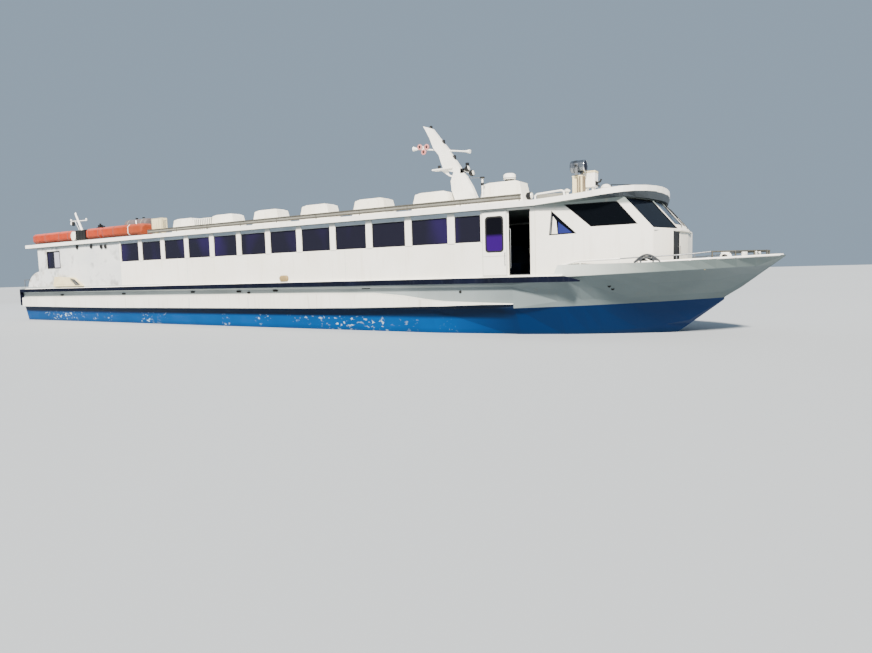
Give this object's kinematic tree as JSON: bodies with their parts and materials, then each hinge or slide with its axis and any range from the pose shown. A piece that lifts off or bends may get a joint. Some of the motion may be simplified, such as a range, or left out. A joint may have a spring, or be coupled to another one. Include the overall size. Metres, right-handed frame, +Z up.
{
  "type": "passenger ferry",
  "caption": "Long low passenger ferry afloat, with a windowed saloon, raked wheelhouse, sliding side doors, turning propellers and swinging rudders.",
  "frame": {"origin": "on the centreline at the waterline, amidships", "axes": "+X towards the bow, +Y to port, +Z up"},
  "size_m": [35.11, 5.5, 8.39],
  "materials": {
    "bottom_paint": "bright blue hull paint, worn, with small white chips",
    "topside_paint": "off-white hull enamel, dulled and streaked",
    "fender_paint": "navy rubbing band, matt and scuffed",
    "cabin_paint": "warm white enamel, semi-gloss, lightly stained",
    "tinted_glass": "dark tinted film, glossy",
    "float_plastic": "orange moulded plastic, sun-faded",
    "canister_plastic": "white moulded plastic, glossy",
    "galvanised_steel": "galvanised tube, dull",
    "bronze": "cast bronze, brown with wear",
    "engine_paint": "grey-green engine enamel",
    "cream_enamel": "cream enamel, brown-stained",
    "black_plastic": "black moulded plastic, satin",
    "seat_plastic": "blue moulded plastic seats"
  },
  "bodies": {
    "hull": {"hull_lower": "bottom_paint", "hull_topsides": "topside_paint", "rub_rail": "fender_paint", "aft_bulkhead": "cabin_paint", "sponson_starboard": "topside_paint", "engine_starboard": "engine_paint", "shaft_strut_starboard": "bottom_paint", "cabin_wall_starboard": "cabin_paint", "cabin_glass_starboard": "tinted_glass", "wheelhouse_wall_starboard": "cabin_paint", "wheelhouse_glass_starboard": "tinted_glass", "roof_rail_starboard": "galvanised_steel", "sponson_port": "topside_paint", "engine_port": "engine_paint", "shaft_strut_port": "bottom_paint", "cabin_wall_port": "cabin_paint", "cabin_glass_port": "tinted_glass", "wheelhouse_wall_port": "cabin_paint", "wheelhouse_glass_port": "tinted_glass", "roof_rail_port": "galvanised_steel", "wheelhouse_front": "cabin_paint", "windscreen_frame": "cabin_paint", "windscreen_glass": "tinted_glass", "roof_main": "cabin_paint", "roof_wheelhouse": "cabin_paint", "roof_units": "cabin_paint", "float_aft": "float_plastic", "float_middle": "float_plastic", "float_forward": "float_plastic", "float_cradle": "galvanised_steel", "roof_crate": "black_plastic", "roof_canister": "canister_plastic", "roof_tank": "galvanised_steel", "roof_ac_box": "cream_enamel", "main_mast": "cabin_paint", "aft_mast": "cabin_paint", "radar_dome": "cabin_paint", "roof_post": "cabin_paint", "tank_cradle": "galvanised_steel", "searchlight_pedestal": "cream_enamel", "roof_box": "cabin_paint", "stern_rail": "galvanised_steel", "bow_rail": "cabin_paint", "bow_bitts": "cabin_paint", "seats": "seat_plastic", "helm_console": "black_plastic", "helm_seat": "black_plastic"},
    "propeller_starboard": {"propeller_starboard": "bronze"},
    "propeller_port": {"propeller_port": "bronze"},
    "rudder_starboard": {"rudder_starboard": "bottom_paint"},
    "rudder_port": {"rudder_port": "bottom_paint"},
    "side_door_starboard": {"side_door_starboard": "cabin_paint", "side_door_pane_starboard": "tinted_glass"},
    "side_door_port": {"side_door_port": "cabin_paint", "side_door_pane_port": "tinted_glass"},
    "aft_door": {"aft_door": "cabin_paint"},
    "foredeck_door": {"foredeck_door": "tinted_glass"},
    "engine_hatch": {"engine_hatch": "topside_paint"},
    "searchlight_yoke": {"searchlight_yoke": "galvanised_steel"},
    "searchlight_drum": {"searchlight_drum": "black_plastic"}
  },
  "joints": [
    {"name": "propeller_starboard_turn", "type": "hinge", "parent": "hull", "child": "propeller_starboard", "pos_m": [-16.15, -0.9, -0.8776], "axis": [0.9938, 0, 0.1113], "continuous": true},
    {"name": "rudder_starboard_turn", "type": "hinge", "parent": "hull", "child": "rudder_starboard", "pos_m": [-16.9, -0.9, -0.9], "axis": [0, 0, 1], "range_deg": [-35, 35]},
    {"name": "propeller_port_turn", "type": "hinge", "parent": "hull", "child": "propeller_port", "pos_m": [-16.15, 0.9, -0.8776], "axis": [0.9938, 0, 0.1113], "continuous": true},
    {"name": "rudder_port_turn", "type": "hinge", "parent": "hull", "child": "rudder_port", "pos_m": [-16.9, 0.9, -0.9], "axis": [0, 0, 1], "range_deg": [-35, 35]},
    {"name": "side_door_starboard_slide", "type": "slide", "parent": "hull", "child": "side_door_starboard", "axis": [1, 0, 0], "range_m": [0, 0.77]},
    {"name": "side_door_port_slide", "type": "slide", "parent": "hull", "child": "side_door_port", "axis": [1, 0, 0], "range_m": [-0.77, 0]},
    {"name": "aft_door_hinge", "type": "hinge", "parent": "hull", "child": "aft_door", "pos_m": [-15.5, 0.392, 2.66], "axis": [0, 0, -1], "range_deg": [0, 100]},
    {"name": "foredeck_door_hinge", "type": "hinge", "parent": "hull", "child": "foredeck_door", "pos_m": [15.01933, -0.848, 2.33], "axis": [0, 0, 1], "range_deg": [0, 100]},
    {"name": "engine_hatch_hinge", "type": "hinge", "parent": "hull", "child": "engine_hatch", "pos_m": [-12.742, 0, 1.72], "axis": [0, -1, 0], "range_deg": [0, 85]},
    {"name": "searchlight_pan", "type": "hinge", "parent": "hull", "child": "searchlight_yoke", "pos_m": [11.9, 0, 4.8], "axis": [0, 0, 1], "range_deg": [-170, 170]},
    {"name": "searchlight_tilt", "type": "hinge", "parent": "searchlight_yoke", "child": "searchlight_drum", "pos_m": [11.9, 0, 5.056], "axis": [0, 1, 0], "range_deg": [-20, 20]}
  ],
  "couplings": [
    {"joint": "rudder_port_turn", "follows": "rudder_starboard_turn", "ratio": 1}
  ]
}
